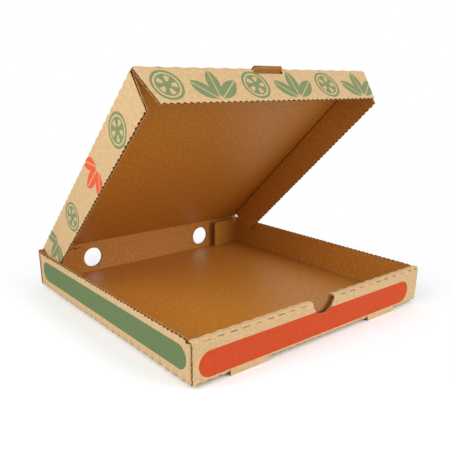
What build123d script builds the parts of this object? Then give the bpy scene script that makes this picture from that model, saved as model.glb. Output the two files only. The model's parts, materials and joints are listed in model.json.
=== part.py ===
# A takeaway pizza box folded from one blank of corrugated board, with its lid part open.
# The frame stands on z = 0, centred on the tray: +X to the right, +Y to the hinge, +Z up.
import math
import os

from build123d import *

# Board
board = 3.0                    # B-flute board over both liners
liner = 0.42                   # each paper of the board
flute_pitch = 6.35             # one flute to the next; the flutes run across the blank
mouth_depth = 3.0              # how far the open flutes reach in from a cut edge
crease_bend = 1.8              # bend radius of a crease at the middle of the board
fold_gap = 0.2                 # air between panels that lie on each other
overrun = 2.0                  # how far a cutting tool runs past what it cuts

# Tray
tray_width = 330.0
tray_depth = 332.0
wall_height = 42.0             # underside of the bottom to the tops of the walls
end_inset = 0.6                # front and back walls end this far inside the side walls' faces

# Front wall, rolled over and locked into the bottom
lock_slot_width = 47.0
lock_slot_place = 98.8         # middle of each slot from the box's middle
lock_tab_play = 2.0            # slot width less tab width
lip_drop = 3.2                 # the slots' lips stand this far below the bottom
lip_round = 2.8
thumb_notch_radius = 16.0
slit_length = 8.0              # cuts that let the outer top fold bend sharply
slit_pitch = 14.8
slit_width = 0.5
slit_depth = 1.0

# Corner flaps of the side walls
front_tuck_length = 50.0
rear_tuck_length = 53.0
rear_tuck_spring = 8.0         # free edge of a rear corner flap stands off the back wall
rear_tuck_drop = 0.4           # its top lies this far below the wall's top
tuck_lift = 0.5                # corner flaps ride this far above the bottom

# Steam vents of the back wall
vent_radius = 13.2
vent_place = 91.0
vent_height = 21.8             # middle of a vent above the underside of the bottom

# Lid
lid_open = 42.3                # degrees from closed, as it rests
lid_rest_gap = 0.4             # closed lid above the wall tops
lid_side_play = 1.5            # side flaps to side walls at the hinge, closed
lid_taper = 5.0                # each side of the lid runs in this far from hinge to front
hinge_gap = 0.3
flap_swing = 2.8               # front flap to front wall, closed: its edge swings out as the lid lifts

# Lid flaps
flap_depth = 38.0              # below the lid's inside
flap_fold_gap = 0.15
front_flap_bevel = 11.0
front_flap_corner_gap = 0.8
front_fold_relief = 0.6        # inner edge of the front fold, so that the flap can lean in
tooth_pitch = 7.0              # pinked free edge of the front flap
tooth_rise = 1.5
side_flap_front_inset = 4.4    # clear of the front flap, also where both are folded in
side_flap_front_bevel = 4.5
side_flap_rear_inset = 9.0
side_flap_rear_bevel = 11.0

# Lift tab, cut out of the front flap
tab_root_width = 39.5
tab_tip_width = 37.0
tab_length = 3.6               # past the front fold
tab_play = 0.4

# Places that follow from these
half_width = tray_width / 2
half_depth = tray_depth / 2
bottom_z = lip_drop
floor_z = bottom_z + board
wall_top = bottom_z + wall_height
rail_width = 3 * board + 2 * fold_gap            # top of the rolled front wall
inner_front_y = -half_depth + rail_width         # its face towards the food
hinge_y = half_depth - board / 2
hinge_z = wall_top + lid_rest_gap + board / 2
front_fold = hinge_y - inner_front_y - flap_swing - board / 2   # hinge axis to front fold's axis
fold_radius = board / 2 + fold_gap
lid_front_edge = front_fold + board / 2
lid_rear_width = tray_width - 2 * (board + lid_side_play)
lid_front_width = lid_rear_width - 2 * lid_taper


def slab(low, high):
    # A block between two corners.
    size = [b - a for a, b in zip(low, high)]
    middle = [(a + b) / 2 for a, b in zip(low, high)]
    return Pos(*middle) * Box(*size)


def ribbon(points, plane):
    # Board seen edge on: a run of panels with rounded creases between them.
    path = FilletPolyline(*points, radius=crease_bend)
    return plane * trace(path, line_width=board)


def panel(points, plane, both=False):
    # A flat panel of board with the outline given, in the plane's own two directions.
    amount = board / 2 if both else board
    return extrude(plane * make_face(Polyline(*points, close=True)), amount=amount, both=both)


def flute_mouths(length, edge, inward):
    # Open ends of the flutes along a cut edge: triangles that point to each liner in turn.
    # The edge's plane has its x along the edge, its y across the board and its z out of it.
    core = board / 2 - liner
    base = flute_pitch / 2 - liner
    count = int(2 * length / flute_pitch) - 1
    start = (length - (count - 1) * flute_pitch / 2) / 2
    cells = []
    for i in range(count):
        side = 1 if i % 2 else -1
        middle = start + i * flute_pitch / 2
        triangle = Polyline(
            (middle - base, side * core),
            (middle + base, side * core),
            (middle, side * (liner - core)),
            close=True,
        )
        cells.append(extrude(edge * make_face(triangle), amount=mouth_depth, dir=inward))
    return cells


def x_rod(radius, length, y, z):
    return Pos(0, y, z) * Rot(0, 90, 0) * Cylinder(radius, length)


def y_rod(radius, length, x, y, z):
    return Pos(x, y, z) * Rot(90, 0, 0) * Cylinder(radius, length)


def tray_run():
    # Back wall, bottom, front wall, rail and inner front panel: one strip of the blank.
    half = board / 2
    inner_y = inner_front_y - half
    section = ribbon(
        [
            (hinge_y, hinge_z),
            (hinge_y, bottom_z + half),
            (-half_depth + half, bottom_z + half),
            (-half_depth + half, wall_top - half),
            (inner_y, wall_top - half),
            (inner_y, floor_z + fold_gap),
        ],
        Plane.YZ,
    )
    run = extrude(section, amount=half_width - end_inset, both=True)
    run += x_rod(half, tray_width - 2 * end_inset, hinge_y, hinge_z)
    inside_half = half_width - board
    for side in (-1, 1):
        # The bottom stops at the side walls, and the inner panel stands between them.
        edges = sorted((side * inside_half, side * (half_width + overrun)))
        run -= slab(
            (edges[0], -half_depth + board, bottom_z - overrun),
            (edges[1], half_depth - board, floor_z),
        )
        edges = sorted((side * (inside_half - fold_gap), side * (half_width + overrun)))
        run -= slab(
            (edges[0], inner_front_y - board - fold_gap, bottom_z - overrun),
            (edges[1], inner_front_y + overrun, wall_top - board),
        )
    return run


def lock_features(run):
    # Slots in the bottom, the lips that the slots leave on the front wall, and the tabs in them.
    front_y = -half_depth
    tab_half = (lock_slot_width - lock_tab_play) / 2
    for side in (-1, 1):
        middle = side * lock_slot_place
        low, high = middle - lock_slot_width / 2, middle + lock_slot_width / 2
        run -= slab(
            (low, front_y + board, bottom_z - overrun),
            (high, inner_front_y + fold_gap, floor_z + fold_gap / 2),
        )
        lip = slab((low, front_y, 0), (high, front_y + board, floor_z))
        inner_end = low if side > 0 else high
        corner = [e for e in lip.edges().filter_by(Axis.Y)
                  if e.center().Z < bottom_z / 2 and abs(e.center().X - inner_end) < board]
        run += fillet(corner, lip_round)
        run += slab(
            (middle - tab_half, inner_front_y - board, bottom_z),
            (middle + tab_half, inner_front_y, floor_z + board),
        )
    return run


def side_wall():
    # Right side wall with its front and rear corner flaps, bent round the tray's corners.
    half = board / 2
    wall_x = half_width - half
    front_y = -half_depth + board + fold_gap + half
    rear_y = half_depth - board - fold_gap - half
    section = ribbon(
        [
            (half_width - front_tuck_length, front_y),
            (wall_x, front_y),
            (wall_x, rear_y),
            (half_width - rear_tuck_length, rear_y - rear_tuck_spring),
        ],
        Plane.XY,
    )
    wall = Pos(0, 0, bottom_z) * extrude(section, amount=wall_height)
    outer_foot = [e for e in wall.edges().filter_by(Axis.Y)
                  if e.center().X > half_width - fold_gap and e.center().Z < floor_z]
    wall = fillet(outer_foot, crease_bend)
    # Corner flaps clear the bottom, and the front one lies under the rail.
    wall -= slab(
        (0, -half_depth, bottom_z - overrun),
        (half_width - board - fold_gap, half_depth, floor_z + tuck_lift),
    )
    wall -= slab(
        (0, -half_depth, wall_top - board - fold_gap),
        (half_width + overrun, inner_front_y + fold_gap, wall_top + overrun),
    )
    wall -= slab(
        (0, 0, wall_top - rear_tuck_drop),
        (half_width - board - fold_gap, half_depth, wall_top + overrun),
    )
    top_start = inner_front_y + fold_gap
    top_edge = Plane(origin=(wall_x, top_start, wall_top), x_dir=(0, 1, 0), z_dir=(0, 0, 1))
    free_end = Vector(half_width - rear_tuck_length, rear_y - rear_tuck_spring, wall_top - rear_tuck_drop)
    corner = Vector(wall_x, rear_y, wall_top - rear_tuck_drop)
    flap_edge = Plane(origin=free_end, x_dir=corner - free_end, z_dir=(0, 0, 1))
    down = (0, 0, -1)
    wall -= flute_mouths(rear_y - board - top_start, top_edge, down)
    return wall - flute_mouths((corner - free_end).length - board, flap_edge, down)


def fold_slits():
    # Cuts along the outer top fold of the front wall, left out across the thumb notch.
    reach = half_width - end_inset - slit_length
    count = int(reach / slit_pitch)
    places = [i * slit_pitch for i in range(-count, count + 1)]
    low = wall_top - board / 2 - slit_width
    return [
        slab(
            (x - slit_length / 2, -half_depth - overrun, low),
            (x + slit_length / 2, -half_depth + slit_depth, low + slit_width),
        )
        for x in places
        if abs(x) > thumb_notch_radius + slit_length
    ]


def strip_ends():
    # Open flutes at the right ends of the front and back walls.
    end_x = half_width - end_inset
    cells = []
    for y in (-half_depth + board / 2, hinge_y):
        edge = Plane(origin=(end_x, y, floor_z), x_dir=(0, 0, 1), z_dir=(1, 0, 0))
        cells += flute_mouths(wall_top - board - floor_z, edge, (-1, 0, 0))
    return cells


def tray():
    run = lock_features(tray_run())
    run -= y_rod(thumb_notch_radius, 2 * (rail_width + overrun), 0, -half_depth, wall_top)
    run -= fold_slits()
    ends = strip_ends()
    run -= ends + [mirror(cell, about=Plane.YZ) for cell in ends]
    for side in (-1, 1):
        run -= y_rod(vent_radius, 2 * (board + overrun), side * vent_place, half_depth,
                     bottom_z + vent_height)
    right = side_wall()
    return run + right + mirror(right, about=Plane.YZ)


def lid_place(shape):
    # Lid pieces are drawn round the hinge axis with the lid shut, then swung open.
    return Pos(0, hinge_y, hinge_z) * Rot(-lid_open, 0, 0) * shape


def tab_outline(play):
    # Trapezoid of the lift tab, from the front fold's axis outwards.
    tip = board / 2 + tab_length + play
    return [
        (-tab_root_width / 2 - play, 0),
        (tab_root_width / 2 + play, 0),
        (tab_tip_width / 2 + play, tip),
        (-tab_tip_width / 2 - play, tip),
    ]


def lid_panel():
    rear = -board / 2 - hinge_gap
    front = -front_fold
    top = Plane.XY.offset(-board / 2)
    sheet = panel(
        [
            (-lid_rear_width / 2, rear),
            (lid_rear_width / 2, rear),
            (lid_front_width / 2, front),
            (-lid_front_width / 2, front),
        ],
        top,
    )
    long_edges = [e for e in sheet.edges()
                  if e.length > front_fold / 2 and e.center().Z > 0 and abs(e.center().X) > board]
    sheet = fillet(long_edges, board - fold_gap)
    sheet += x_rod(board / 2, lid_front_width - 2 * board, front, 0)
    tab_plane = Plane(origin=(0, front, 0), x_dir=(-1, 0, 0), z_dir=(0, 0, 1))
    return sheet + panel(tab_outline(0), tab_plane, both=True)


def front_flap():
    # Hangs from the front fold, with bevelled ends and an opening where the lift tab was cut.
    plane = Plane(origin=(0, -front_fold, 0), x_dir=(1, 0, 0), z_dir=(0, -1, 0))
    free = -board / 2 - flap_depth
    root_half = lid_front_width / 2 - front_flap_corner_gap
    free_half = root_half - front_flap_bevel
    teeth = 2 * round(free_half / tooth_pitch) * 2
    pinked = [
        (free_half - i * 2 * free_half / teeth, free + (tooth_rise if i % 2 else 0))
        for i in range(teeth + 1)
    ]
    flap = panel([(-root_half, 0), (root_half, 0)] + pinked, plane, True)
    flap -= x_rod(fold_radius, tray_width, -front_fold, 0)
    relief = board / 2 + front_fold_relief
    flap -= slab((-half_width, -front_fold, -relief), (half_width, -front_fold + board, board))
    opening = [(x, -y) for x, y in tab_outline(tab_play)]
    flap -= panel(opening, plane.offset(-board), False) + panel(opening, plane, False)
    bevel = Vector(front_flap_bevel, 0, -free)
    bottom = Vector(free_half, -front_fold, free)
    edge = Plane(origin=bottom, x_dir=bevel, z_dir=bevel.cross(Vector(0, 1, 0)))
    cells = flute_mouths(bevel.length - board, edge, (-1, 0, 0))
    return flap - cells - [mirror(cell, about=Plane.YZ) for cell in cells]


def side_flap():
    # Right flap, hanging under the lid's right edge, which narrows towards the front.
    taper = math.atan2(lid_taper, front_fold)
    along = (-math.sin(taper), -math.cos(taper), 0)
    outward = (math.cos(taper), -math.sin(taper), 0)
    inner = lid_rear_width / 2 - board / math.cos(taper)
    plane = Plane(origin=(inner, 0, -board / 2), x_dir=along, z_dir=outward)
    reach = lid_front_edge / math.cos(taper)
    outline = [
        (side_flap_rear_inset, flap_fold_gap),
        (reach - side_flap_front_inset, flap_fold_gap),
        (reach - side_flap_front_inset - side_flap_front_bevel, flap_depth),
        (side_flap_rear_inset + side_flap_rear_bevel, flap_depth),
    ]
    start, end = outline[3][0], outline[2][0]
    edge = Plane(
        origin=plane.from_local_coords((start, flap_depth, board / 2)),
        x_dir=plane.x_dir,
        z_dir=plane.y_dir,
    )
    return panel(outline, plane) - flute_mouths(end - start, edge, -plane.y_dir)


os.makedirs("parts", exist_ok=True)
right_flap = side_flap()
nodes = {
    "tray": tray(),
    "lid_panel": lid_place(lid_panel()),
    "lid_front_flap": lid_place(front_flap()),
    "lid_right_flap": lid_place(right_flap),
    "lid_left_flap": lid_place(mirror(right_flap, about=Plane.YZ)),
}
for name, shape in nodes.items():
    export_step(shape, f"parts/{name}.step")
print("hinge", round(hinge_y, 3), round(hinge_z, 3), "front fold", round(front_fold, 3))
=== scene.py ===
import json
import math

import bpy
import numpy as np
from mathutils import Matrix, Vector
from mathutils.geometry import delaunay_2d_cdt


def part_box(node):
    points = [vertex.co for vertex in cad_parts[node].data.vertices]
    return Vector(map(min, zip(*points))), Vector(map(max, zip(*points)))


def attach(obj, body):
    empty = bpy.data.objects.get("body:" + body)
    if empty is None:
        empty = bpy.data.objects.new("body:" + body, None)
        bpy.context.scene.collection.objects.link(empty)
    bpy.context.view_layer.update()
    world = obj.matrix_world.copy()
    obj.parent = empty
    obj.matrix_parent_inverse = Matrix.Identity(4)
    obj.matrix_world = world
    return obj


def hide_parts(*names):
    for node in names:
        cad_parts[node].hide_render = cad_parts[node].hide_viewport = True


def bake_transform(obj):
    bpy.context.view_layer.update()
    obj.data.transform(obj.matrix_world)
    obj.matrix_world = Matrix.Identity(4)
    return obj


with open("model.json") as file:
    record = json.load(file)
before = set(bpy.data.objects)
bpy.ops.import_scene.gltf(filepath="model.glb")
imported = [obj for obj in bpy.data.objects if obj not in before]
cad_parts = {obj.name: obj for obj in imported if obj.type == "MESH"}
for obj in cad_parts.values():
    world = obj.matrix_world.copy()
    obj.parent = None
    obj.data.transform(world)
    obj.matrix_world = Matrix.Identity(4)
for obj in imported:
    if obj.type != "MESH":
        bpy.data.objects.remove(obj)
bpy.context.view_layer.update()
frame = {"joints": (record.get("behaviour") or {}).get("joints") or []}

# The whole box is worked out in millimetres on the flat blank: x across it, s along it from the
# hinge line, growing towards the front wall and falling towards the lid's front flap.
perMetre = 1000.0
joints = {joint["name"]: joint for joint in frame["joints"]}
hinge = np.array(joints["lid_hinge"]["pos_m"]) * perMetre
frontFold = np.array(joints["front_flap_fold"]["pos_m"]) * perMetre
halfWidth, halfDepth = [float(v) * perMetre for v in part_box("tray")[1][:2]]
lidTilt = math.radians(-joints["lid_hinge"]["range_deg"][0])
lidReach = float(np.hypot(*(frontFold - hinge)[1:]))     # hinge axis to the front fold's axis
scene = bpy.context.scene

# B-flute board: two paper liners with a wavy paper glued between them
board = {
    "thickness": 3.0,
    "liner": 0.42,
    "medium": 0.46,              # thickness of the wavy paper, with its glue
    "press": 1.6,                # how flat its crests are
    "lean": 0.45,                # it lies longer against the inner liner than the outer
    "pitch": 6.35,               # one flute to the next
    "samples": 8,                # points on one flute
    "nibble": 1.35,              # the knife leaves the liners about this much short between crests
    "nibbleWear": (0.8, (0.3, 0.21, 0.0), (0.3, 0.57, 1.0)),     # mean and slow waves of that
    "bend": 1.8,                 # crease radius at the middle of the board
    "gap": 0.2,                  # air between panels that lie on each other
    "sharp": 38.0,               # degrees past which an edge is drawn sharp
}
thick = board["thickness"]
half = thick / 2

# lines ruled on the flat blanks, in mm, close where a surface bends or waves
ruling = {
    "fold": 2.75,                # spacing along the waves of the side folds
    "rail": 3.0,                 # along the rolled front wall
    "lidAcross": 4.75,
    "flap": 12.0,
    "plain": 16.0,               # where nothing bends
    "flute": 40.0,               # along the straight flutes
    "overrun": 4.0,              # past the sheet's edge
    "merge": 1e-5,               # points closer than this are one
    "perCrease": 6,              # lines through one crease
    "perMm": 10,                 # steps in which a fold line is summed up
}


# Flat sheets and folds

def insideRings(points, rings):
    # even-odd rule: a point is in the sheet if a line from it crosses an odd number of cut edges
    hits = np.zeros(len(points), bool)
    for ring in rings:
        ax, ay = ring.T
        bx, by = np.roll(ring, -1, axis=0).T
        px, py = points[:, :1], points[:, 1:]
        spans = (ay > py) != (by > py)
        slope = (bx - ax) / np.where(by == ay, 1, by - ay)
        hits ^= (np.sum(spans & (px < ax + (py - ay) * slope), axis=1) % 2).astype(bool)
    return hits


def cutBlank(rings, xLines, sLines, slanted=()):
    # die-cut sheet: a net of triangles whose edges follow the cut edges and the ruled lines,
    # kept where a triangle's middle lies in the sheet
    rings = [np.array(ring, float) for ring in rings]
    low = rings[0].min(axis=0) - ruling["overrun"]
    high = rings[0].max(axis=0) + ruling["overrun"]
    starts = np.cumsum([0] + [len(ring) for ring in rings])
    points, edges = [*rings], []
    for start, ring in zip(starts, rings):
        ids = start + np.arange(len(ring))
        edges.append(np.column_stack([ids, np.roll(ids, -1)]))
    rows = [[(low[0], s), (high[0], s)] for s in sLines]
    rows += [[(x, low[1]), (x, high[1])] for x in xLines]
    rows += slanted
    points.append(np.array(rows).reshape(-1, 2))
    edges.append(starts[-1] + np.arange(2 * len(rows)).reshape(-1, 2))
    coords = [Vector(p) for p in np.concatenate(points).tolist()]
    net = delaunay_2d_cdt(coords, np.concatenate(edges).tolist(), [], 0, ruling["merge"])
    flat = np.array([v[:] for v in net[0]])
    faces = np.array(net[2])
    faces = faces[insideRings(flat[faces].mean(axis=1), rings)]
    used, faces = np.unique(faces, return_inverse=True)
    return flat[used], faces.reshape(-1, 3)


def closedSheet(blank, topDepth, bottomDepth, place, papers):
    # paper of its own thickness: the sheet at two depths under the board's outer face, joined round
    # every cut edge; papers are the material slots of its two faces and of the cut edge
    flat, faces = blank
    count = len(flat)
    shape = np.concatenate([place(flat, topDepth), place(flat, bottomDepth)])
    directed = np.concatenate([faces[:, [0, 1]], faces[:, [1, 2]], faces[:, [2, 0]]])
    keys = directed[:, 0] * count + directed[:, 1]
    a, b = directed[~np.isin(keys, directed[:, 1] * count + directed[:, 0])].T  # edges of one face only
    walls = np.concatenate([
        np.column_stack([b, a, a + count]),
        np.column_stack([b, a + count, b + count]),
    ])
    slots = np.repeat(papers, [len(faces), len(faces), len(walls)])
    faces = np.concatenate([faces, faces[:, ::-1] + count, walls])
    return shape, faces, np.concatenate([flat, flat]), slots


def ruled(low, high, step):
    # evenly spaced ruled lines, kept off both ends
    return np.linspace(low, high, max(2, int(round((high - low) / step))) + 2)[1:-1]


def boardSheets(rings, place, xLines, sLines, crossLines, outerRings=None, innerRings=None, slanted=()):
    # the three papers of one panel: outer liner, inner liner and between them the wave
    # tanh(press * (sin(2 pi s / pitch) - lean)), whose crests are pressed flat where they are glued
    liner, medium = board["liner"], board["medium"]
    outerBlank = cutBlank(outerRings or rings, xLines, sLines, list(slanted))
    innerBlank = cutBlank(innerRings or rings, xLines, sLines)
    along = np.array(rings[0])[:, 1]
    waveLines = ruled(along.min(), along.max(), board["pitch"] / board["samples"])
    mediumBlank = cutBlank(rings, crossLines, waveLines)
    rise = half - liner - medium / 2
    swing = np.sin(2 * np.pi * mediumBlank[0][:, 1] / board["pitch"]) - board["lean"]
    lowest, highest = np.tanh(board["press"] * (np.array([-1, 1]) - board["lean"]))
    wave = half + rise - 2 * rise * (np.tanh(board["press"] * swing) - lowest) / (highest - lowest)
    # slot 2 is the wavy paper's darkened brown, painted shade: it colours the wave and the liners' faces
    # inside the board, so the flute hollows show dark
    return [
        closedSheet(outerBlank, 0.0, liner, place, (0, 2, 3)),
        closedSheet(innerBlank, thick - liner, thick, place, (2, 1, 3)),
        closedSheet(mediumBlank, wave - medium / 2, wave + medium / 2, place, (2, 2, 3)),
    ]


def wander(run, mean, *waves):
    # a mean with slow waves on it: mean + sum of swing * sin(step * run + start)
    return mean + sum(swing * np.sin(step * run + start) for swing, step, start in waves)


def nibbled(x, start, end, inward, side):
    # cut edge along s at x: full where the wave touches this liner, short between by
    # nibble * (1 - side * sin(2 pi s / pitch)) / 2, more and less in slow waves
    s = np.linspace(start, end, max(3, int(abs(end - start) / board["pitch"] * board["samples"])))
    short = board["nibble"] * wander(s, *board["nibbleWear"])
    short *= (1 - side * np.sin(2 * np.pi * s / board["pitch"])) / 2
    return np.column_stack([x + inward * short, s]).tolist()


def ripple(run, length, size):
    # small even waves that a crease leaves along a fold
    return size * np.sin(2 * np.pi * run / length)


def foldLine(corners, bend):
    # path of creased board: its heading is constant on a panel and turns evenly through a crease,
    # and a point on it is the running sum of the heading
    corners = np.array(corners, float)
    step = np.diff(corners, axis=0)
    heading = np.unwrap(np.arctan2(step[:, 1], step[:, 0]))
    turn = np.abs(np.diff(heading))
    cut = bend * np.tan(turn / 2)
    runs = np.zeros(2 * len(step) - 1)
    runs[0::2] = np.hypot(*step.T) - np.r_[0, cut] - np.r_[cut, 0]
    runs[1::2] = bend * turn
    knots = np.r_[0, np.cumsum(runs)]
    turns = np.repeat(heading, 2)
    s = np.linspace(0, knots[-1], int(knots[-1] * ruling["perMm"]) + 1)
    middle = np.interp((s[1:] + s[:-1]) / 2, knots, turns)
    walk = np.cumsum(np.column_stack([np.cos(middle), np.sin(middle)]) * np.diff(s)[:, None], axis=0)
    return {"knots": knots, "turns": turns, "s": s, "at": np.vstack([corners[0], corners[0] + walk])}


def onFold(line, s):
    # point of the fold line at s and the direction of the board's outer face there, to its left
    heading = np.interp(s, line["knots"], line["turns"])
    a = np.interp(s, line["s"], line["at"][:, 0])
    b = np.interp(s, line["s"], line["at"][:, 1])
    return a, b, -np.sin(heading), np.cos(heading)


def creaseLines(line):
    # ruled lines through each crease, close enough for it to bend smoothly
    starts, ends = line["knots"][1:-1:2], line["knots"][2::2]
    return np.concatenate([np.linspace(a, b, ruling["perCrease"]) for a, b in zip(starts, ends)])


def arcPoints(middle, radius, start, end, count):
    turn = np.radians(np.linspace(start, end, count))
    return np.column_stack([middle[0] + radius * np.cos(turn), middle[1] + radius * np.sin(turn)])


def circlePoints(middle, radius, count):
    return arcPoints(middle, radius, 0, 360 - 360 / count, count)


def makePiece(name, sheets, materials, body=None, node=None):
    # all papers of a piece as one mesh, with the flat blank as its UV map in metres
    shapes, faces, flats, slots = zip(*sheets)
    starts = np.cumsum([0] + [len(shape) for shape in shapes])
    shape, flat = np.concatenate(shapes), np.concatenate(flats)
    face = np.concatenate([face + start for face, start in zip(faces, starts)])
    mesh = bpy.data.meshes.new(name)
    mesh.vertices.add(len(shape))
    mesh.vertices.foreach_set("co", (shape / perMetre).astype(np.float32).ravel())
    mesh.loops.add(face.size)
    mesh.loops.foreach_set("vertex_index", face.astype(np.int32).ravel())
    mesh.polygons.add(len(face))
    mesh.polygons.foreach_set("loop_start", np.arange(0, face.size, 3, dtype=np.int32))
    mesh.polygons.foreach_set("material_index", np.concatenate(slots).astype(np.int32))
    mesh.update(calc_edges=True)
    uv = mesh.uv_layers.new(name="blank")
    uv.data.foreach_set("uv", (flat[face.ravel()] / perMetre).astype(np.float32).ravel())
    mesh.polygons.foreach_set("use_smooth", np.ones(len(face), bool))
    mesh.set_sharp_from_angle(angle=math.radians(board["sharp"]))
    for material in materials:
        mesh.materials.append(material)
    piece = bpy.data.objects.new(name, mesh)
    scene.collection.objects.link(piece)
    if body:
        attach(piece, body)
        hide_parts(node)
    print(name, len(face), "triangles")
    return piece


# Materials

def linear(code):
    # sRGB hex to linear
    value = np.array([int(code[i:i + 2], 16) for i in (1, 3, 5)]) / 255
    return (*np.where(value <= 0.04045, value / 12.92, ((value + 0.055) / 1.055) ** 2.4), 1.0)


def addNode(tree, kind, settings=None, **links):
    # one shader node: settings are its own properties, or its operation alone; a link goes to a socket by
    # name, or by number as i0, i1, and is a value, a socket or a node, which gives its first output
    node = tree.nodes.new("ShaderNode" + kind)
    if isinstance(settings, str):
        settings = {"operation": settings}
    for key, value in (settings or {}).items():
        setattr(node, key, value)
    for key, value in links.items():
        numbered = key[0] == "i" and key[1:].isdigit()
        socket = node.inputs[int(key[1:])] if numbered else node.inputs[key.replace("_", " ")]
        if isinstance(value, bpy.types.Node):
            value = value.outputs[0]
        if isinstance(value, bpy.types.NodeSocket):
            tree.links.new(value, socket)
        else:
            socket.default_value = value
    return node


ink = {
    "red": "#C03D0C",
    "lidRed": "#D9532D",
    "green": "#708257",
    "bandGreen": "#5A7147",
    "edge": 0.2,                 # mm, soft edge of the print
    "streak": 1.4,               # mm, lines that the press leaves along its run
    "streakLength": 25.0,        # times its width
    "streakDetail": 2.0,
    "streakWeight": 0.9,         # against the paper's own tone
    "thinning": (0.3, 1.6),      # from full to thin between these sums of streak and tone
    "thinnest": 0.93,            # cover of the thinnest ink
}


def inked(tree, flat, paper, distance, code, tone):
    # flexo ink: solid inside the shape's edge, a little thin where the paper is rough and in fine streaks
    cover = addNode(tree, "MapRange", Value=distance, From_Min=ink["edge"], From_Max=-ink["edge"])
    drawn = addNode(tree, "VectorMath", "MULTIPLY", i0=flat, i1=(1.0, 1 / ink["streakLength"], 1.0))
    streaks = addNode(tree, "TexNoise", Vector=drawn, Scale=1 / ink["streak"], Detail=ink["streakDetail"])
    thin = addNode(tree, "Math", "MULTIPLY_ADD", i0=streaks, i1=ink["streakWeight"], i2=tone)
    low, high = ink["thinning"]
    full = addNode(tree, "MapRange", Value=thin,
                   From_Min=low, From_Max=high, To_Min=1.0, To_Max=ink["thinnest"])
    amount = addNode(tree, "Math", "MULTIPLY", i0=cover, i1=full)
    return addNode(tree, "Mix", {"data_type": "RGBA"}, i0=amount, i6=paper, i7=linear(code)).outputs[2]


kraft = {
    "outer": "#D0B084",          # the side that is printed is paler
    "outerShade": "#BF9E70",
    "inner": "#C78630",
    "innerShade": "#AB6C24",
    # the wavy paper's own darker brown, darkened further as painted shade of the flute hollows; the
    # liners' faces inside the board take it too
    "medium": "#8A5E34",
    "mediumShade": "#704823",
    "cut": "#D6AE7C",            # torn fibres on the cut edges
    "cutShade": "#AE8350",
    "cloud": 4.5,                # mm, pulp clouds
    "cloudDetail": 4.0,
    "cloudRough": 0.6,
    "fibre": 1.0,                # mm, drawn coarser than the real 0.03 mm so that it shows
    "fibreLength": 2.0,          # times its width
    "fibreDetail": 3.0,
    "fibreWeight": 1.1,          # against the clouds
    "toneRange": (0.84, 1.26),   # from shade to light between these sums of fibre and cloud
    "fleck": "#7A5630",
    "fleckSpacing": 7.0,         # mm
    "fleckRim": (0.05, 0.025),   # from paper to fleck between these shares of the spacing
    "fleckRare": 0.62,           # share of the places that have none
    "fleckStrength": 0.6,
    "washboard": 0.3,            # dip between flutes against the fibres' height
    "bumpStrength": 0.25,
    "bumpHeight": 0.0002,        # metres
    "plain": (0.18, 0.66),       # gloss and roughness
    "rolled": (0.5, 0.48),       # the inner liner is rolled smoother
}


def kraftPaper(name, light, shade, finish, printing=None):
    # uncoated kraft liner: brown pulp rolled flat, matte, with soft clouds, short fibres and dark flecks;
    # printing gives the areas of ink over it, each as a distance to its edge and a colour
    material = bpy.data.materials.new(name)
    material.use_nodes = True
    tree = material.node_tree
    tree.nodes.clear()
    uv = addNode(tree, "UVMap", {"uv_map": "blank"})
    flat = addNode(tree, "VectorMath", "SCALE", i0=uv, Scale=perMetre)
    clouds = addNode(tree, "TexNoise", Vector=flat, Scale=1 / kraft["cloud"],
                     Detail=kraft["cloudDetail"], Roughness=kraft["cloudRough"])
    drawn = addNode(tree, "VectorMath", "MULTIPLY", i0=flat, i1=(1.0, 1 / kraft["fibreLength"], 1.0))
    fibres = addNode(tree, "TexNoise", Vector=drawn,
                     Scale=1 / kraft["fibre"], Detail=kraft["fibreDetail"])
    mixed = addNode(tree, "Math", "MULTIPLY_ADD", i0=fibres, i1=kraft["fibreWeight"], i2=clouds)
    low, high = kraft["toneRange"]
    tone = addNode(tree, "MapRange", Value=mixed, From_Min=low, From_Max=high)
    paper = addNode(tree, "Mix", {"data_type": "RGBA"}, i0=tone, i6=linear(shade), i7=linear(light))
    dots = addNode(tree, "TexVoronoi", Vector=flat, Scale=1 / kraft["fleckSpacing"])
    low, high = kraft["fleckRim"]
    near = addNode(tree, "MapRange", Value=dots.outputs["Distance"], From_Min=low, From_Max=high)
    chance = addNode(tree, "SeparateColor", Color=dots.outputs["Color"])
    rare = addNode(tree, "Math", "GREATER_THAN", i0=chance, i1=kraft["fleckRare"])
    fleck = addNode(tree, "Math", "MULTIPLY", i0=near, i1=rare)
    weak = addNode(tree, "Math", "MULTIPLY", i0=fleck, i1=kraft["fleckStrength"])
    flecked = addNode(tree, "Mix", {"data_type": "RGBA"},
                      i0=weak, i6=paper.outputs[2], i7=linear(kraft["fleck"]))
    colour = flecked.outputs[2]
    for distance, code in printing(tree, flat) if printing else ():
        colour = inked(tree, flat, colour, distance, code, tone)
    # washboard: the liner dips a little between flutes
    place = addNode(tree, "SeparateXYZ", Vector=flat)
    phase = addNode(tree, "Math", "MULTIPLY", i0=place.outputs[1], i1=2 * math.pi / board["pitch"])
    dip = addNode(tree, "Math", "SINE", i0=phase)
    height = addNode(tree, "Math", "MULTIPLY_ADD", i0=dip, i1=kraft["washboard"], i2=fibres)
    bump = addNode(tree, "Bump", Height=height,
                   Strength=kraft["bumpStrength"], Distance=kraft["bumpHeight"])
    gloss, rough = finish
    shader = addNode(tree, "BsdfPrincipled", Base_Color=colour, Normal=bump,
                     Roughness=rough, Specular_IOR_Level=gloss)
    addNode(tree, "OutputMaterial", Surface=shader)
    return material


innerKraft = kraftPaper("innerKraftLiner", kraft["inner"], kraft["innerShade"], kraft["rolled"])
# the wavy paper and the liners' faces inside the board, in a brown darker than the paper is: painted
# shade of the flute hollows and the creases' splits
flutePaperPaintedShade = kraftPaper("flutedMediumPaintedShade", kraft["medium"], kraft["mediumShade"], kraft["plain"])
cutKraft = kraftPaper("cutKraftEdge", kraft["cut"], kraft["cutShade"], kraft["plain"])

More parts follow.
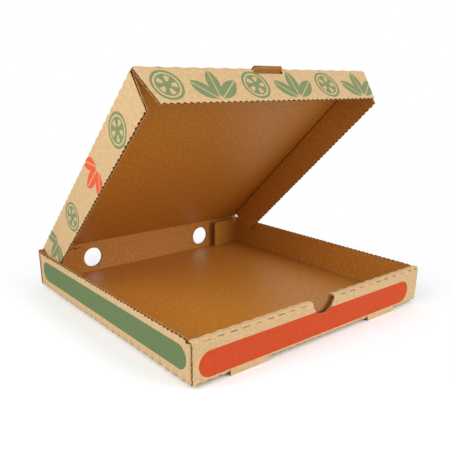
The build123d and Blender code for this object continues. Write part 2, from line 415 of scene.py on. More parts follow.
motif = {
    "cell": (102.6, 74.0),       # mm, repeat across and along
    "rowPlace": 34.0,            # a row's middle lies here, so that one runs along the front flap
    "stem": (-25.65, -17.5),     # where the leaves meet, from the cell's middle
    "spread": (-50.0, 0.0, 50.0),
    "leaf": (16.0, 7.3),         # half length and half width
    "leafGap": 3.0,              # from the stem to the leaf's foot
    "rib": 0.55,                 # half width
    "slice": (25.65, 0.0),       # its middle from the cell's middle
    "round": 16.6,
    "rind": (13.0, 0.9),         # middle and half width of the pale ring under the rind
    "pockets": (7.3, 3.0),       # and of the belt that holds the seed pockets
    "pocketCount": 5.0,
    "pocketWave": (1.5, -0.2),   # mm, swing and shift of the wave that parts the pockets
    "redRow": 1.0,               # this one of every
    "rowCycle": 4.0,             # four rows is red
    "outOfReach": 99.0,
}


def motifCell(tree, flat):
    # place within one cell of the repeat, whose odd rows are slid by half a cell, and the row's number
    wide, high = motif["cell"]
    place = addNode(tree, "SeparateXYZ", Vector=flat)
    run = addNode(tree, "Math", "SUBTRACT", i0=place.outputs[1], i1=motif["rowPlace"])
    level = addNode(tree, "Math", "MULTIPLY_ADD", i0=run, i1=1 / high, i2=0.5)
    row = addNode(tree, "Math", "FLOOR", i0=level)
    odd = addNode(tree, "Math", "FLOORED_MODULO", i0=row, i1=2.0)
    slid = addNode(tree, "Math", "MULTIPLY_ADD", i0=odd, i1=wide / 2, i2=place.outputs[0])
    shifted = addNode(tree, "CombineXYZ", X=slid, Y=run)
    cell = addNode(tree, "VectorMath", "WRAP", i0=shifted,
                   i1=(wide / 2, high / 2, 1), i2=(-wide / 2, -high / 2, -1))
    return cell, row


def sprigEdge(tree, cell):
    # leaf: where two circles overlap, length(|x|, |y| + radius - broad) - radius, split by a thin rib
    # along y = 0; a sprig is the nearest of its leaves
    long, broad = motif["leaf"]
    radius = (long ** 2 + broad ** 2) / (2 * broad)
    middle = (motif["stem"][0] + long + motif["leafGap"], motif["stem"][1], 0)
    sprig = None
    for angle in motif["spread"]:
        turned = addNode(tree, "VectorRotate", {"rotation_type": "Z_AXIS"},
                         Vector=cell, Center=(*motif["stem"], 0), Angle=math.radians(-90 - angle))
        moved = addNode(tree, "VectorMath", "SUBTRACT", i0=turned, i1=middle)
        folded = addNode(tree, "VectorMath", "ABSOLUTE", i0=moved)
        lens = addNode(tree, "VectorMath", "ADD", i0=folded, i1=(0, radius - broad, 0))
        far = addNode(tree, "VectorMath", "LENGTH", i0=lens)
        leaf = addNode(tree, "Math", "SUBTRACT", i0=far.outputs["Value"], i1=radius)
        aside = addNode(tree, "VectorMath", "DOT_PRODUCT", i0=folded, i1=(0, 1, 0))
        rib = addNode(tree, "Math", "SUBTRACT", i0=motif["rib"], i1=aside.outputs["Value"])
        leaf = addNode(tree, "Math", "MAXIMUM", i0=leaf, i1=rib)
        sprig = leaf if sprig is None else addNode(tree, "Math", "MINIMUM", i0=sprig, i1=leaf)
    return sprig


def sliceEdge(tree, cell):
    # slice: a disc, less a pale ring under its rind and a pale star of seed pockets; a ring is
    # half width - |distance from the middle - ring's middle|
    moved = addNode(tree, "VectorMath", "SUBTRACT", i0=cell, i1=(*motif["slice"], 0))
    far = addNode(tree, "VectorMath", "LENGTH", i0=moved).outputs["Value"]
    disc = addNode(tree, "Math", "SUBTRACT", i0=far, i1=motif["round"])
    rings = []
    for middle, halfRing in (motif["rind"], motif["pockets"]):
        off = addNode(tree, "Math", "SUBTRACT", i0=far, i1=middle)
        off = addNode(tree, "Math", "ABSOLUTE", i0=off)
        rings.append(addNode(tree, "Math", "SUBTRACT", i0=halfRing, i1=off))
    rind, belt = rings
    disc = addNode(tree, "Math", "MAXIMUM", i0=disc, i1=rind)
    spot = addNode(tree, "SeparateXYZ", Vector=moved)
    turn = addNode(tree, "Math", "ARCTAN2", i0=spot.outputs[1], i1=spot.outputs[0])
    star = addNode(tree, "Math", "MULTIPLY", i0=turn, i1=motif["pocketCount"])
    star = addNode(tree, "Math", "COSINE", i0=star)
    swing, shift = motif["pocketWave"]
    pocket = addNode(tree, "Math", "MULTIPLY_ADD", i0=star, i1=swing, i2=shift)
    pocket = addNode(tree, "Math", "MINIMUM", i0=pocket, i1=belt)
    return addNode(tree, "Math", "MAXIMUM", i0=disc, i1=pocket)


def lidPrint(tree, flat):
    # a loose repeat of leaf sprigs and round slices; some rows are red and the rest green, and a shape
    # is pushed out of reach in the other ink
    cell, row = motifCell(tree, flat)
    both = addNode(tree, "Math", "MINIMUM", i0=sprigEdge(tree, cell), i1=sliceEdge(tree, cell))
    count = addNode(tree, "Math", "FLOORED_MODULO", i0=row, i1=motif["rowCycle"])
    isRed = addNode(tree, "Math", "COMPARE", i0=count, i1=motif["redRow"], i2=0.5)
    isGreen = addNode(tree, "Math", "SUBTRACT", i0=1.0, i1=isRed)
    shapes = []
    for away, code in ((isRed, ink["green"]), (isGreen, ink["lidRed"])):
        shape = addNode(tree, "Math", "MULTIPLY_ADD", i0=away, i1=motif["outOfReach"], i2=both)
        shapes.append((shape, code))
    return shapes


lidKraft = kraftPaper("printedKraftLid", kraft["outer"], kraft["outerShade"], kraft["plain"], lidPrint)
print("materials made")


# Tray: back wall, bottom, front wall, rolled rail and inner front panel are one strip

tray = {
    "bottom": 3.2,               # underside above the floor, held up by the lips
    "wallTop": 45.2,
    "endInset": 0.6,
    "slotPlace": 98.8,
    "slotWidth": 47.0,
    "slotReach": 9.1,
    "slit": 0.3,                 # cuts that free the lips' ends
    "lipReach": 6.5,             # lip below the front wall's crease end
    "lipSlack": 0.05,            # points on its end belong to it
    "lipRound": 2.8,
    "tabPlay": 2.0,
    "notch": 16.0,
    "notchCrush": (0.45, 1.5),   # share of the thickness, and mm in which it dies away
    "ventPlace": 91.0,
    "ventRadius": 13.2,
    "ventHeight": 21.8,
    # the split shows the darkened paper beneath as a dark line, painted shade of the crease
    "creaseGap": 1.5,            # the inner liner is split open along the side creases
    "mediumGap": 1.2,            # the wavy paper stops short of the split
    "perforation": (8.0, 14.8, 0.42),    # length, pitch and width of the cuts on the top fold
    "perforationRise": 0.9,      # past the start of the top fold
    "perforationWear": ((0.88, (0.12, 2.3, 0.0)), (0.8, (0.25, 1.7, 3.0))),    # of length and width
    "topRipple": (14.8, 0.4),    # length and size of the waves along the creases
    "footRipple": (11.0, 0.5),
    "sideRipple": (12.7, 1.0),
    "rippleBell": (1.4, 2.5),    # middle past the crease's start, and spread, of those waves
    "wrapTurn": 120.0,           # degrees that the outer liner goes round the hinge
    "wrapStart": 0.02,           # mm from the hinge line to the first ruled line
    "wrapLines": 7,
    "frontLines": (2.0, 5.0),    # mm from the front wall's creases to its ruled lines
    "notchPoints": 25,           # on each half circle
    "ventPoints": 48,
    "lipPoints": 7,
}
wideX = halfWidth - tray["endInset"]
footX = halfWidth - half - board["bend"]                # where the bottom bends up into the side walls
footZ = tray["bottom"] + half + board["bend"]           # where the walls stand straight
floorTop = tray["bottom"] + thick
railWidth = 3 * thick + 2 * board["gap"]
innerY = -halfDepth + railWidth - half
stripLine = foldLine(
    [
        (hinge[1], hinge[2]),
        (hinge[1], tray["bottom"] + half),
        (-hinge[1], tray["bottom"] + half),
        (-hinge[1], tray["wallTop"] - half),
        (innerY, tray["wallTop"] - half),
        (innerY, tray["bottom"]),
    ],
    board["bend"],
)
knots = stripLine["knots"]
frontStart, frontEnd = knots[4], knots[5]
innerEnd = knots[9] - (floorTop + board["gap"] - tray["bottom"])
notchEnds = (frontEnd + half + board["bend"], knots[8] - half - board["bend"])  # middles of its arcs


def nearCrease(s, crease):
    # bell curve over a crease: exp(-((s - crease - middle) / spread) ** 2)
    middle, spread = tray["rippleBell"]
    return np.exp(-((s - crease - middle) / spread) ** 2)


def stripPlace(flat, depth):
    # the strip's profile in the Y-Z plane carried along X; lips stay in the front wall's plane, and paper
    # past the hinge line wraps round the hinge
    x, s = flat.T
    y, z, ny, nz = onFold(stripLine, s)
    lift = half - depth + np.zeros(len(s))
    for crease in knots[5:8:2]:
        lift += ripple(x, *tray["topRipple"]) * nearCrease(s, crease)
    reach = np.abs(np.abs(x) - tray["slotPlace"]) < tray["slotWidth"] / 2 + tray["slit"] / 2
    lift += np.where(reach, 0, ripple(x, *tray["footRipple"])) * nearCrease(s, knots[3])
    # round the thumb notch the knife crushes the board by a share that dies away from the cut edge
    crush, fade = tray["notchCrush"]
    edge = np.hypot(x, s - np.clip(s, *notchEnds)) - tray["notch"]
    lift *= 1 - crush * np.exp(-np.maximum(edge, 0) / fade)
    lip = reach & (s < frontStart) & (s > frontStart - tray["lipReach"] - tray["lipSlack"])
    y = np.where(lip, -hinge[1], y)
    z = np.where(lip, footZ - (frontStart - s), z)
    ny = np.where(lip, -1.0, ny)
    nz = np.where(lip, 0.0, nz)
    turn = np.maximum(-s, 0) / half
    y = np.where(s < 0, hinge[1] + lift * np.cos(turn), y + ny * lift)
    z = np.where(s < 0, hinge[2] + lift * np.sin(turn), z + nz * lift)
    return np.column_stack([x, y, z])


def slotRing(side):
    # slot behind the lip, with the cuts that free the lip's two ends
    place, gap, bow = tray["slotPlace"], tray["slit"], tray["lipRound"]
    a, b = place - tray["slotWidth"] / 2, place + tray["slotWidth"] / 2
    lipEnd, slotEnd = frontStart - tray["lipReach"], frontStart - tray["slotReach"]
    corner = arcPoints((a + bow, lipEnd + bow), bow, 180, 270, tray["lipPoints"]).tolist()
    slot = [(a - gap, frontStart), (a, frontStart), *corner, (b, lipEnd), (b, frontStart),
            (b + gap, frontStart), (b + gap, slotEnd), (a - gap, slotEnd)]
    return [(side * x, s) for x, s in slot]


def perforationRings():
    # pointed cuts along the outer top fold, some of them finer and shorter than others
    long, pitch, wide = tray["perforation"]
    lengthWear, widthWear = tray["perforationWear"]
    middle = frontEnd + tray["perforationRise"]
    last = int((wideX - long) / pitch)
    rings = []
    for k in range(-last, last + 1):
        x = k * pitch
        end = long / 2 * wander(k, *lengthWear)
        slim = wide / 2 * wander(k, *widthWear)
        if abs(x) > tray["notch"] + long:
            near = [(x - end, middle), (x - end + wide, middle - slim), (x + end - wide, middle - slim)]
            far = [(x + end, middle), (x + end - wide, middle + slim), (x - end + wide, middle + slim)]
            rings.append(near + far)
    return rings


def stripRings(start, footGap=0.0):
    # the strip's outline from s = start, then its thumb notch, vents, slots and perforation
    inner = halfWidth - thick - board["gap"]
    foot = footX - footGap
    tabHalf = (tray["slotWidth"] - tray["tabPlay"]) / 2
    tabStart, tabEnd = tray["slotPlace"] - tabHalf, tray["slotPlace"] + tabHalf
    right = [
        (wideX, start), (wideX, knots[2]), (foot, knots[2]), (foot, knots[3]), (wideX, knots[3]),
        (wideX, knots[7]), (inner, knots[7]), (inner, innerEnd),
        (tabEnd, innerEnd), (tabEnd, knots[9]), (tabStart, knots[9]), (tabStart, innerEnd),
    ]
    # the notch is a half circle in each wall, joined across the rail
    notch = np.concatenate([
        arcPoints((0, notchEnds[0]), tray["notch"], 180, 360, tray["notchPoints"]),
        arcPoints((0, notchEnds[1]), tray["notch"], 0, 180, tray["notchPoints"]),
    ])
    rings = [right + [(-x, s) for x, s in right[::-1]], notch]
    ventS = hinge[2] - tray["bottom"] - tray["ventHeight"]
    for side in (-1, 1):
        vent = (side * tray["ventPlace"], ventS)
        rings.append(circlePoints(vent, tray["ventRadius"], tray["ventPoints"]))
        rings.append(slotRing(side))
    return rings + perforationRings()


wrap = -half * np.radians(np.linspace(0, tray["wrapTurn"], tray["wrapLines"]))
frontLines = np.array(tray["frontLines"])
stripX = ruled(-wideX, wideX, ruling["rail"])
stripS = np.concatenate([
    wrap[1:-1], [tray["wrapStart"]], creaseLines(stripLine), ruled(knots[2], knots[3], ruling["plain"]),
    frontStart + frontLines, frontEnd - frontLines,
])
mediumRings = stripRings(0.0, tray["creaseGap"] + tray["mediumGap"])
traySheets = boardSheets(mediumRings, stripPlace, stripX, stripS, ruled(-wideX, wideX, ruling["flute"]),
                         outerRings=stripRings(wrap[-1]), innerRings=stripRings(0.0, tray["creaseGap"]))

# side walls with their corner flaps: the plan of the wall carried upwards, its foot bent into the bottom
wall = {
    "frontTuck": 50.0,
    "rearTuck": 53.0,
    "rearSpring": 8.0,           # the rear flap's free end stands off the back wall
    "rearDrop": 0.4,             # its top below the wall's
    "stepRun": 0.4,              # in which its top rises to the wall's
    "lift": 0.5,                 # corner flaps above the bottom's inside
    "cornerLift": 0.3,           # corners above the underside
    "footSlit": 0.3,             # cut between the foot's crease and a corner
    "cornerShare": 0.1,          # the flaps' lower cuts lie this share of a bend into the crease
    "footLines": (0.2, 5),       # inset and number of the ruled lines through the foot's crease
    "upLines": (40.0, 10.0),     # height that is ruled above it, and spacing
}
wallX = halfWidth - half
cornerY = halfDepth - thick - board["gap"] - half
wallLine = foldLine(
    [
        (halfWidth - wall["rearTuck"], cornerY - wall["rearSpring"]),
        (wallX, cornerY),
        (wallX, -cornerY),
        (halfWidth - wall["frontTuck"], -cornerY),
    ],
    board["bend"],
)
wallKnots = wallLine["knots"]
footArc = board["bend"] * math.pi / 2
wallS = knots[2] + hinge[1] - cornerY - wallKnots[2]    # s of the wall's rear end


def wallPlace(side):
    def place(flat, depth):
        # x on the blank is height up the wall past the foot's crease, s runs along the wall's plan
        up = np.abs(flat[:, 0]) - footX - footArc
        p = flat[:, 1] - wallS
        x, y, nx, ny = onFold(wallLine, p)
        lift = half - depth + np.zeros(len(p))
        foot = (p > wallKnots[2]) & (p < wallKnots[3]) & (up < 0)
        turn = np.maximum(-up, 0) / board["bend"]
        ring = board["bend"] + lift
        ring *= 1 + ripple(p, *tray["sideRipple"]) * np.sin(2 * turn) / (board["bend"] + half)
        px = np.where(foot, footX + ring * np.cos(turn), x + nx * lift)
        pz = np.where(foot, footZ - ring * np.sin(turn), footZ + up)
        return np.column_stack([side * px, y + ny * lift, pz])
    return place


def wallRings(side, face=0):
    # outline from the rear corner flap's free end to the front one's, tops first; face is 1 for the
    # outer liner, -1 for the inner one and 0 for the paper between them
    top, railTop = tray["wallTop"] - footZ, tray["wallTop"] - thick - board["gap"] - footZ
    rear = top - wall["rearDrop"]
    low, clear = tray["bottom"] + wall["cornerLift"] - footZ, floorTop + wall["lift"] - footZ
    p1, p2, p3, p4, end = wallKnots[1:6]
    frontStep = p3 - (innerY + half + board["gap"] + cornerY - board["bend"])
    mid, slit = board["bend"] * wall["cornerShare"], wall["footSlit"]
    foot = -footArc if face else tray["mediumGap"] - footArc
    step = p1 + mid
    rise = step + wall["stepRun"]
    tops = [(rear, 0.0), (rear, step), (top, rise), (top, frontStep)]
    if face:                         # a liner's own edge, nibbled by the knife
        tops = nibbled(rear, wallS, wallS + step, -1, face)
        tops += nibbled(top, wallS + rise, wallS + frontStep, -1, face)
        tops = [(up, s - wallS) for up, s in tops]
    points = [(clear, 0.0)] + tops + [
        (railTop, frontStep), (railTop, end), (clear, end),
        (clear, p4 - mid), (low, p4 - mid), (low, p3), (0, p3), (0, p3 - slit), (foot, p3 - slit),
        (foot, p2 + slit), (0, p2 + slit), (0, p2), (low, p2), (low, step), (clear, step),
    ]
    return [[(side * (footX + footArc + up), wallS + p) for up, p in points]]


inset, count = wall["footLines"]
wallHigh, wallStep = wall["upLines"]
wallUp = np.concatenate([-np.linspace(inset, footArc - inset, count), ruled(0, wallHigh, wallStep)])
wallRuns = np.concatenate([creaseLines(wallLine), ruled(wallKnots[2], wallKnots[3], ruling["fold"])])
for side in (-1, 1):
    across = side * (footX + footArc + wallUp)
    traySheets += boardSheets(wallRings(side), wallPlace(side), across, wallS + wallRuns, across,
                              outerRings=wallRings(side, 1), innerRings=wallRings(side, -1))

band = {
    "frontHalf": 152.5,
    "frontShift": -5.6,
    "frontRadius": 12.9,
    "frontHeight": 20.4,         # middle above the floor
    "sideReach": (-157.0, 153.0),
    "sideRadius": 12.2,
    "sideHeight": 25.4,
}


def bandEdge(tree, flat, middle, halfRun, radius):
    # distance to a round-ended band: length(max(|p - middle| - halfRun, 0)) - radius
    moved = addNode(tree, "VectorMath", "SUBTRACT", i0=flat, i1=(*middle, 0))
    folded = addNode(tree, "VectorMath", "ABSOLUTE", i0=moved)
    short = addNode(tree, "VectorMath", "SUBTRACT", i0=folded, i1=(*halfRun, 0))
    clipped = addNode(tree, "VectorMath", "MAXIMUM", i0=short, i1=(0, 0, 0))
    far = addNode(tree, "VectorMath", "LENGTH", i0=clipped)
    return addNode(tree, "Math", "SUBTRACT", i0=far.outputs["Value"], i1=radius)


def trayPrint(tree, flat):
    # plain bands: red on the front wall, green on both side walls
    middle = (band["frontShift"], frontStart + band["frontHeight"] - footZ)
    halfRun = (band["frontHalf"] - band["frontRadius"], 0.0)
    shapes = [(bandEdge(tree, flat, middle, halfRun, band["frontRadius"]), ink["red"])]
    front, rear = band["sideReach"]
    sideX = footX + footArc + band["sideHeight"] - footZ
    sideS = knots[2] + hinge[1] - board["bend"] - (front + rear) / 2
    halfRun = (0.0, (rear - front) / 2 - band["sideRadius"])
    for side in (-1, 1):
        edge = bandEdge(tree, flat, (side * sideX, sideS), halfRun, band["sideRadius"])
        shapes.append((edge, ink["bandGreen"]))
    return shapes


trayKraft = kraftPaper("printedKraftTray", kraft["outer"], kraft["outerShade"], kraft["plain"], trayPrint)
makePiece("trayBoard", traySheets, [trayKraft, innerKraft, flutePaperPaintedShade, cutKraft], "tray", "tray")


# Lid: one panel, its side and front edges bent down to the flaps, with the lift tab

lid = {
    "rearWidth": 321.0,
    "frontWidth": 311.0,
    "rear": 1.8,                 # panel's rear edge from the hinge axis
    "tabRoot": 39.5,
    "tabTip": 37.0,
    "tabLength": 5.1,            # past the front fold's axis
    "tabPlay": 0.4,
    "tabCut": 0.5,               # the cuts beside the tab start this far behind the fold
    # the split shows the darkened paper beneath as a dark line, painted shade of the fold
    "creaseGap": 1.7,            # the inner liner is split open along the side folds
    "frontRoll": 150.0,          # degrees that the outer liner goes round the front fold
    "sideRipple": (11.0, 0.45),
    "frontRipple": (19.0, 0.4),
    "frontSpread": 4.0,          # of the waves on both sides of the front fold
    "edgeInset": 6.0,            # of the ruled lines from the side folds
    "evenEnd": 9.0,              # mm before the front fold, where the even ruled lines end
    "frontLines": (8.0, 6.0, 4.0, 2.0, 0.05),
    "rollLines": 9,
    "bendLines": 7,
    "bendOverrun": 5.0,          # of the side folds' lines past the hinge axis
    "fluteReach": 150.0,         # half the width that is ruled across the flutes
}
sideFlap = {
    "depth": 38.0,
    "foldGap": 0.15,
    "foldFoot": 1.4,             # the fold's own outer liner ends this far down the flap
    "frontInset": 4.4,
    "frontBevel": 4.5,
    "rearInset": 9.0,
    "rearBevel": 11.0,
    "downLines": (10.0, 19.0, 28.0),
    "runLines": (10.0, 310.0),   # ruled between these
}
taper = math.atan2((lid["rearWidth"] - lid["frontWidth"]) / 2, lidReach)
flapFront = (lidReach + half) / math.cos(taper) - sideFlap["frontInset"]      # along the side fold
foldEnds = [run * math.cos(taper) for run in (sideFlap["rearInset"], flapFront)]
foldRound = thick - board["gap"]
sideArc = foldRound * math.pi / 2
frontArc = half * math.radians(lid["frontRoll"])


def tilted(x, v, w):
    # lid places: v from the hinge axis to the front, w out of the lid
    y = hinge[1] - v * math.cos(lidTilt) + w * math.sin(lidTilt)
    z = hinge[2] + v * math.sin(lidTilt) + w * math.cos(lidTilt)
    return np.column_stack([x, y, z])


def edgeX(v):
    # inside of the side folds, which run in towards the front
    return lid["rearWidth"] / 2 - thick / math.cos(taper) - v * math.tan(taper)


def lidPlace(flat, depth):
    # a flat panel; its side edges turn down through a quarter circle that opens out to the flap's face,
    # and its front edge rolls round the front fold's axis
    x, v = flat[:, 0], -flat[:, 1]
    past = np.abs(x) - edgeX(v)
    turn = np.clip(past / foldRound, 0, math.pi / 2)
    ring = foldRound + board["gap"] * turn / (math.pi / 2) - depth
    ring += ripple(v, *lid["sideRipple"]) * np.sin(2 * turn)
    tab = np.abs(x) < lid["tabRoot"] / 2 + lid["tabPlay"] / 2
    bump = np.exp(-((v - lidReach) / lid["frontSpread"]) ** 2)
    lift = half - depth + np.where(tab, 0, ripple(x, *lid["frontRipple"])) * bump
    px = np.where(past > 0, np.sign(x) * (edgeX(v) + ring * np.sin(turn)), x)
    pw = half - foldRound + ring * np.cos(turn) - np.maximum(past - sideArc, 0)
    pw = np.where(past > 0, pw, lift)
    over = np.where(tab, 0, np.maximum(v - lidReach, 0)) / half
    pv = np.where(over > 0, lidReach + lift * np.sin(over), v)
    pw = np.where(over > 0, lift * np.cos(over), pw)
    return tilted(px, pv, pw)


def lidRings(side, front):
    # outline whose edges reach past the panel by front, and by side where no flap hangs on it
    a, b = lid["rear"], lidReach
    c, d = foldEnds
    root, tip, gap = lid["tabRoot"] / 2, lid["tabTip"] / 2, lid["tabPlay"]
    cut = b - lid["tabCut"] if front > 0 else b
    right = [(edgeX(a) + side, a), (edgeX(b) + side, b)]
    if front > 0:
        right[1:1] = [(edgeX(c) + side, c), (edgeX(c), c), (edgeX(d), d), (edgeX(d) + side, d)]
        right += [(edgeX(b), b), (edgeX(b), b + front), (root + gap, b + front), (root + gap, cut)]
    right += [(root, cut), (tip, b + lid["tabLength"])]
    return [[(x, -v) for x, v in right] + [(-x, -v) for x, v in right[::-1]]]


def bendLine(side, arc):
    # a ruled line along a side fold, arc mm round it
    over = lid["bendOverrun"]
    return [(side * (edgeX(-over) + arc), over), (side * (edgeX(lidReach) + arc), -lidReach)]


lidInside = edgeX(0) - lid["edgeInset"]
lidX = ruled(-lidInside, lidInside, ruling["lidAcross"])
lidS = -np.concatenate([
    ruled(lid["rear"], lidReach - lid["evenEnd"], ruling["fold"]),
    lidReach - np.array(lid["frontLines"]),
    lidReach + frontArc * np.linspace(0, 1, lid["rollLines"])[1:-1],
])
bendArcs = sideArc * np.linspace(0, 1, lid["bendLines"])
bends = {side: [bendLine(side, arc) for arc in bendArcs] for side in (-1, 1)}
fluteX = ruled(-lid["fluteReach"], lid["fluteReach"], ruling["flute"])
lidSheets = boardSheets(lidRings(0.0, 0.0), lidPlace, lidX, lidS, fluteX,
                        outerRings=lidRings(sideArc, frontArc),
                        innerRings=lidRings(-lid["creaseGap"], 0.0),
                        slanted=bends[-1][:-1] + bends[1][:-1])
lidPapers = [lidKraft, innerKraft, flutePaperPaintedShade, cutKraft]
makePiece("lidBoard", lidSheets, lidPapers, "lid", "lid_panel")


# Front flap, with a pinked free edge and the opening that the lift tab leaves

frontFlap = {
    "depth": 39.5,               # below the fold's axis
    "cornerGap": 0.8,
    "bevel": 11.0,
    "toothPitch": 7.0,
    "toothRise": 1.7,
    "crush": 1.3,                # the knife crushes the inner papers this much short of the teeth
    "rootRadius": 1.7,
    "downLines": (4.0, 12.0, 22.0, 32.0),
}


def frontFlapPlace(flat, depth):
    # flat flap under the fold, its root hollowed round the fold's axis
    x, q = flat[:, 0], -flat[:, 1] - lidReach
    lift = half - depth + np.zeros(len(x))
    hollow = np.sqrt(np.maximum(frontFlap["rootRadius"] ** 2 - lift ** 2, 0))
    return tilted(x, lidReach + lift, -np.maximum(q, hollow))


def frontFlapRings(short=0.0):
    # outline along the fold, round the tab's opening, then the teeth of the free edge
    deep = frontFlap["depth"] - short
    root = lid["frontWidth"] / 2 - frontFlap["cornerGap"]
    free = root - frontFlap["bevel"]
    count = int(round(2 * free / frontFlap["toothPitch"]))
    xs = np.linspace(free, -free, 2 * count + 1)
    teeth = np.column_stack([xs, deep - frontFlap["toothRise"] * (np.arange(len(xs)) % 2)])
    tabRoot, tabTip = lid["tabRoot"] / 2 + lid["tabPlay"], lid["tabTip"] / 2 + lid["tabPlay"]
    tab = lid["tabLength"] + lid["tabPlay"]
    fold = [(-root, 0.0), (-tabRoot, 0.0), (-tabTip, tab), (tabTip, tab), (tabRoot, 0.0), (root, 0.0)]
    return [[(x, -lidReach - q) for x, q in fold + teeth.tolist()]]


flapX = ruled(-lid["fluteReach"], lid["fluteReach"], ruling["flap"])
flapS = -lidReach - np.array(frontFlap["downLines"])
flapSheets = boardSheets(frontFlapRings(frontFlap["crush"]), frontFlapPlace, flapX, flapS, fluteX,
                         outerRings=frontFlapRings())
makePiece("frontFlapBoard", flapSheets, lidPapers, "front_flap", "lid_front_flap")


# Side flaps, and the outer liner that goes round each of their folds

def sideFlapPlace(side):
    def place(flat, depth):
        # flat flap hanging under the lid's side fold
        q = np.abs(flat[:, 0]) - lid["rearWidth"] / 2
        run = -flat[:, 1]
        out = thick - depth + np.zeros(len(q))
        x = edgeX(0) - run * math.sin(taper) + out * math.cos(taper)
        v = run * math.cos(taper) + out * math.sin(taper)
        return tilted(side * x, v, -half - q)
    return place


def sideFlapRings(side, face=0):
    # outline along the fold and back along the free edge; face as for the tray's walls
    fold = lid["rearWidth"] / 2
    root = fold + (sideFlap["foldFoot"] if face == 1 else sideFlap["foldGap"])
    free = fold + sideFlap["depth"]
    ends = (flapFront - sideFlap["frontBevel"], sideFlap["rearInset"] + sideFlap["rearBevel"])
    edge = nibbled(free, -ends[0], -ends[1], -1, face) if face else [(free, -run) for run in ends]
    points = [(root, -sideFlap["rearInset"]), (root, -flapFront)] + edge
    return [[(side * x, s) for x, s in points]]


flapRuns = -ruled(*sideFlap["runLines"], ruling["flap"])
foldRuns = -ruled(*foldEnds, ruling["fold"])
for side, name in ((-1, "left"), (1, "right")):
    cross = side * (lid["rearWidth"] / 2 + np.array(sideFlap["downLines"]))
    sheets = boardSheets(sideFlapRings(side), sideFlapPlace(side), cross, flapRuns, cross,
                         outerRings=sideFlapRings(side, 1), innerRings=sideFlapRings(side, -1))
    makePiece(name + "FlapBoard", sheets, lidPapers, name + "_flap", "lid_" + name + "_flap")
    # the outer liner round the fold, as a piece of its own
    foot = sideArc + board["gap"] + sideFlap["foldFoot"]
    strip = [(edgeX(v) + out, v) for v, out in zip(np.repeat(foldEnds, 2), (foot, 0, 0, foot))]
    blank = cutBlank([[(side * x, -v) for x, v in strip]], [], foldRuns, bends[side][1:])
    liner = closedSheet(blank, 0.0, board["liner"], lidPlace, (0, 2, 3))
    foldLiner = makePiece(name + "FoldLiner", [liner], lidPapers)
    v = foldEnds[0]
    x, out = edgeX(v), thick * np.array([math.cos(taper), math.sin(taper)])
    start = tilted(side * x, v, half)[0] / perMetre
    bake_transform(foldLiner)


# Camera at the photograph's place, floor and light

photo = {
    "side": 452,                 # pixels
    "place": (-0.40574, -0.49861, 0.24830),    # metres
    "azimuth": -37.98,
    "elevation": 19.48,
    "focal": 549.5,              # pixels
    "centre": (210.0, 277.7),    # pixel that the lens looks at
}
azimuth, elevation = math.radians(photo["azimuth"]), math.radians(photo["elevation"])
level = math.cos(elevation)
right = Vector((math.cos(azimuth), math.sin(azimuth), 0))
back = Vector((math.sin(azimuth) * level, -math.cos(azimuth) * level, math.sin(elevation)))
lens = bpy.data.cameras.new("photoCamera")
lens.lens = photo["focal"] / photo["side"] * lens.sensor_width
lens.shift_x = 0.5 - photo["centre"][0] / photo["side"]
lens.shift_y = photo["centre"][1] / photo["side"] - 0.5
camera = bpy.data.objects.new("photoCamera", lens)
turned = Matrix((right, back.cross(right), back)).transposed()
camera.matrix_world = Matrix.Translation(photo["place"]) @ turned.to_4x4()
scene.collection.objects.link(camera)
bpy.context.scene.camera = camera

studio = {
    "floorColour": "#FBFDFF",
    "floorRadius": 4.0,          # metres, as all of the studio
    "floorPoints": 96,
    "openInset": 0.03,           # the floor is open under the tray, to light the underside
    "fadeMiddle": (-0.04, -0.06, 0.0),
    "fade": (0.18, 0.4),         # the floor runs out into the white between these distances
    "sky": 0.67,                 # its light on the part, where the lens sees it as 1
    "aim": (0.0, 0.0, 0.1),      # where the lamps point
}
openX, openY = halfWidth / perMetre - studio["openInset"], halfDepth / perMetre - studio["openInset"]
floorOpening = [(-openX, -openY), (openX, -openY), (openX, openY), (-openX, openY)]
floorRim = circlePoints((0, 0), studio["floorRadius"], studio["floorPoints"])
spots, floorFaces = cutBlank([floorRim, floorOpening], [], [])
floorMesh = bpy.data.meshes.new("floor")
floorMesh.from_pydata(np.column_stack([spots, 0 * spots[:, 0]]).tolist(), [], floorFaces.tolist())
floor = bpy.data.objects.new("floor", floorMesh)
scene.collection.objects.link(floor)
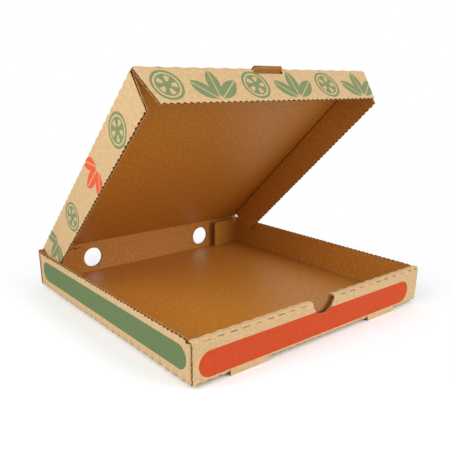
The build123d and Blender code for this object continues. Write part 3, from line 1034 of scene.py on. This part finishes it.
# matte white paper that fades into the room and is clear from below
paperFloor = bpy.data.materials.new("paleFloor")
paperFloor.use_nodes = True
tree = paperFloor.node_tree
tree.nodes.clear()
spot = addNode(tree, "TexCoord")
far = addNode(tree, "VectorMath", "DISTANCE", i0=spot.outputs["Object"], i1=studio["fadeMiddle"])
fade = addNode(tree, "MapRange", {"interpolation_type": "SMOOTHSTEP"}, Value=far.outputs["Value"],
               From_Min=studio["fade"][0], From_Max=studio["fade"][1])
matte = addNode(tree, "BsdfDiffuse", Color=linear(studio["floorColour"]))
clear = addNode(tree, "BsdfTransparent")
under = addNode(tree, "NewGeometry")
gone = addNode(tree, "Math", "MAXIMUM", i0=fade, i1=under.outputs["Backfacing"])
both = addNode(tree, "MixShader", i0=gone, i1=matte, i2=clear)
addNode(tree, "OutputMaterial", Surface=both)
floorMesh.materials.append(paperFloor)

world = bpy.data.worlds.new("whiteRoom")
scene.world = world
world.use_nodes = True
tree = world.node_tree
tree.nodes.clear()
path = addNode(tree, "LightPath")
seen = path.outputs["Is Camera Ray"]
for ray in ("Is Glossy Ray", "Is Transmission Ray"):
    seen = addNode(tree, "Math", "MAXIMUM", i0=seen, i1=path.outputs[ray])
strength = addNode(tree, "MapRange", Value=seen, To_Min=studio["sky"], To_Max=1.0)
sky = addNode(tree, "Background", Color=(1, 1, 1, 1), Strength=strength)
addNode(tree, "OutputWorld", Surface=sky)

lamps = {
    "left": {"place": (-0.68, -0.1, 0.5), "size": 0.5, "power": 3.2},
    "front": {"place": (0.75, -1.3, 0.75), "size": 1.2, "power": 14.0},
}
for name, lamp in lamps.items():
    light = bpy.data.lights.new(name, "AREA")
    light.size = lamp["size"]
    light.energy = lamp["power"]
    shine = bpy.data.objects.new(name, light)
    shine.visible_camera = False
    aim = Vector(studio["aim"]) - Vector(lamp["place"])
    turned = aim.to_track_quat("-Z", "Y").to_matrix().to_4x4()
    shine.matrix_world = Matrix.Translation(lamp["place"]) @ turned
    scene.collection.objects.link(shine)
scene.view_settings.view_transform = "Standard"
print("camera, floor and light made")
